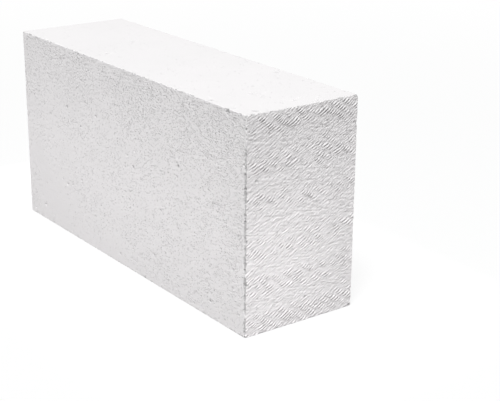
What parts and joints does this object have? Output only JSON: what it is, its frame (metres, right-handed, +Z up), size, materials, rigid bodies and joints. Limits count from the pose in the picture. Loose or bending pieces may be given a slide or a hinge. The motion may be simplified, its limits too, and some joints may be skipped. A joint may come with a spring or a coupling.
{
  "type": "aerated concrete block",
  "caption": "Solid rectangular aerated concrete wall block with plain flat faces, sawn ends and lightly chipped arrises, for laying in thin-bed mortar.",
  "frame": {"origin": "middle of the bottom bed face", "axes": "+X along the length towards the near sawn end, +Y through the thickness from the front face to the back face, +Z up to the top bed"},
  "size_m": [0.5, 0.15, 0.25],
  "materials": {
    "aerated_concrete": "matt, dry, fine open pores"
  },
  "bodies": {
    "root": {"aerated_block": "aerated_concrete"}
  },
  "joints": []
}
